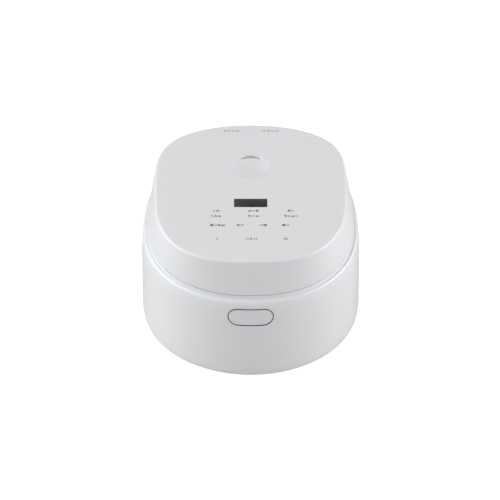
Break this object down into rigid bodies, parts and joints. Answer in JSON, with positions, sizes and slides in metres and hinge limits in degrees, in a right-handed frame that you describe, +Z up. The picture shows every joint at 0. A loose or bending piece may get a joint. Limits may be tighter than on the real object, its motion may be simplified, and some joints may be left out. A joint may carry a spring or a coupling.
{
  "type": "rice cooker",
  "caption": "Low rounded-square induction rice cooker with a hinged lid, touch deck, lift-out steam cap and push-button latch.",
  "frame": {"origin": "bottom centre of the whole object, on the surface it stands on", "axes": "+Z up, front with the release button towards -Y, +X to the right seen from the front"},
  "size_m": [0.265, 0.3236, 0.1676],
  "materials": {
    "white_gloss": "gloss, injection moulded",
    "white_matte": "satin, fine spark texture",
    "ivory_plastic": "heat-proof moulding, unpainted",
    "grey_base": "matt, fine texture",
    "black_plastic": "matt moulding",
    "dark_rubber": "matt rubber",
    "silicone": "translucent white silicone",
    "steel": "zinc-plated or stainless",
    "spring_steel": "drawn wire",
    "aluminium": "mill finish",
    "pot_coating": "non-stick coating with fine fleck",
    "liner_plastic": "glass-filled heat-proof moulding",
    "copper_wire": "enamelled stranded wire",
    "ferrite": "sintered, matt",
    "circuit_board": "solder mask",
    "capacitor_case": "potted box",
    "contact_brass": "bare metal",
    "lead_cover": "silicone insulation",
    "fuse_body": "glazed tube",
    "smoked_window": "polished, smoked"
  },
  "bodies": {
    "body": {"outer_casing": "white_gloss", "top_frame": "white_matte", "base_plate": "grey_base", "rubber_feet": "dark_rubber", "base_screws": "steel", "inner_pot": "pot_coating", "pot_liner": "liner_plastic", "bottom_coil": "copper_wire", "side_coil": "copper_wire", "coil_carrier": "ivory_plastic", "ferrite_bars": "ferrite", "warming_band": "aluminium", "thermal_fuse": "fuse_body", "sensor_spring": "spring_steel", "power_board": "circuit_board", "heat_sink": "aluminium", "power_transistors": "black_plastic", "filter_capacitor": "capacitor_case", "choke_coil": "copper_wire", "fan_housing": "black_plastic", "power_inlet": "black_plastic", "inlet_pins": "contact_brass", "power_leads": "lead_cover", "hinge_mount": "grey_base", "hinge_cover": "white_gloss", "hinge_pin": "steel", "lid_spring": "spring_steel", "button_guide": "black_plastic", "button_springs": "spring_steel", "latch_bracket": "steel", "latch_pin": "steel", "latch_spring": "spring_steel"},
    "lid": {"lid_cover": "white_gloss", "display_window": "smoked_window", "display_module": "black_plastic", "touch_board": "circuit_board", "touch_pads": "black_plastic", "lid_frame": "white_matte", "lid_catch": "steel", "lid_screws": "steel", "lid_heater": "aluminium", "lid_thermistor": "fuse_body", "inner_lid": "steel", "inner_lid_gasket": "silicone", "steam_packing": "silicone"},
    "steam_cap": {"steam_cap_upper": "white_gloss", "steam_cap_lower": "ivory_plastic", "steam_cap_seal": "silicone"},
    "button": {"release_button": "white_gloss"},
    "latch": {"latch_lever": "liner_plastic"},
    "fan": {"fan_impeller": "black_plastic"},
    "sensor": {"temperature_sensor": "steel"}
  },
  "joints": [
    {"name": "lid_hinge", "type": "hinge", "parent": "body", "child": "lid", "pos_m": [0, 0.126, 0.134], "axis": [-1, 0, 0], "range_deg": [0, 90], "stiffness_Nm_per_rad": 0.2, "springref_deg": 89.95},
    {"name": "steam_cap_lift", "type": "slide", "parent": "lid", "child": "steam_cap", "axis": [0, 0, 1], "range_m": [0, 0.04]},
    {"name": "button_press", "type": "slide", "parent": "body", "child": "button", "axis": [0, 1, 0], "range_m": [0, 0.0035], "stiffness_N_per_m": 500, "springref_m": -0.004, "deforming": ["button_springs"]},
    {"name": "latch_turn", "type": "hinge", "parent": "body", "child": "latch", "pos_m": [0, -0.141, 0.066], "axis": [-1, 0, 0], "range_deg": [0, 8], "deforming": ["latch_spring"]},
    {"name": "fan_spin", "type": "hinge", "parent": "body", "child": "fan", "pos_m": [-0.041, 0.12, 0.015], "axis": [0, 0, 1], "continuous": true},
    {"name": "sensor_press", "type": "slide", "parent": "body", "child": "sensor", "axis": [0, 0, -1], "range_m": [0, 0.002], "stiffness_N_per_m": 400, "springref_m": -0.006, "deforming": ["sensor_spring"]}
  ],
  "couplings": [
    {"joint": "latch_turn", "follows": "button_press", "rad_per_m": 37.037}
  ]
}
